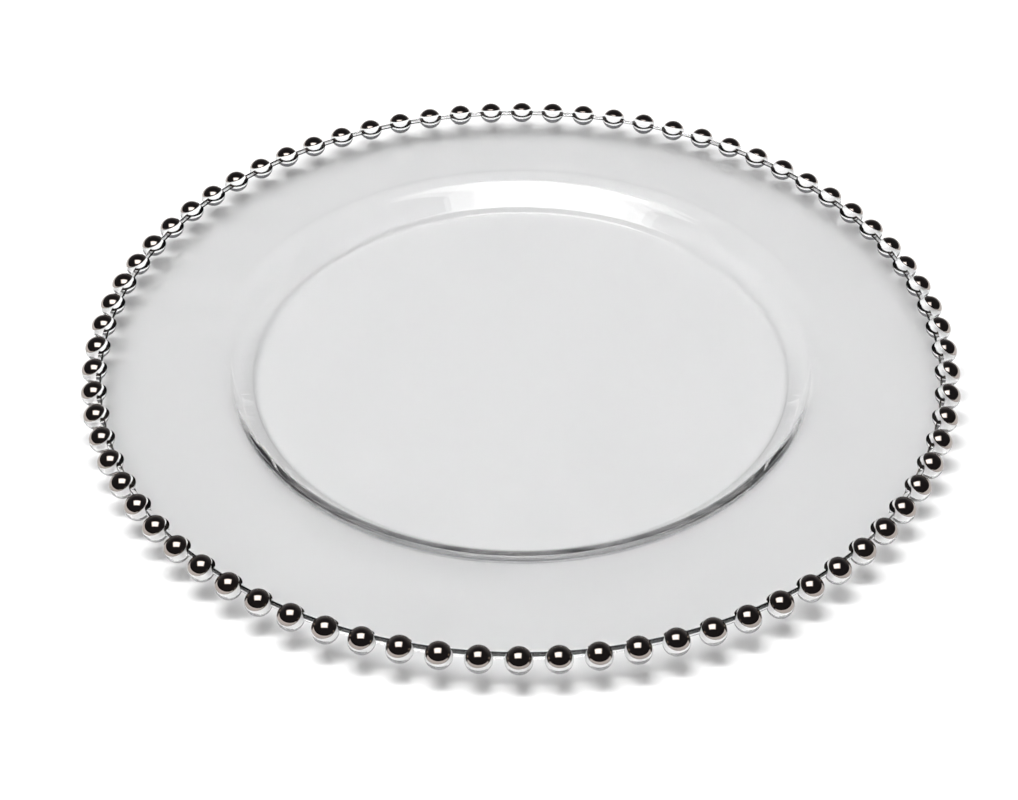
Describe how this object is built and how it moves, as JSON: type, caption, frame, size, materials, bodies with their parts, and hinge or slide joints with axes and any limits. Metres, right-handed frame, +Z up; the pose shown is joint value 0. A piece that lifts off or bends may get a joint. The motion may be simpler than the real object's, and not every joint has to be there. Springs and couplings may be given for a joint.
{
  "type": "charger plate",
  "caption": "Round clear glass charger plate with a shallow flat well, a curved step, a broad nearly level rim and a row of silver-capped glass beads round the edge.",
  "frame": {"origin": "centre of the base, on the surface that the plate rests on", "axes": "+Z up along the plate's axis; +X runs through the middle of one bead"},
  "size_m": [0.3298, 0.3298, 0.0168],
  "materials": {
    "clear_glass": "clear fire-polished pressed glass, colourless with a faint cool tint at the edges",
    "silver_lustre": "fired metallic silver lustre, mirror bright"
  },
  "bodies": {
    "root": {"glass_plate": "clear_glass", "rim_beads": "clear_glass", "bead_caps": "silver_lustre"}
  },
  "joints": []
}
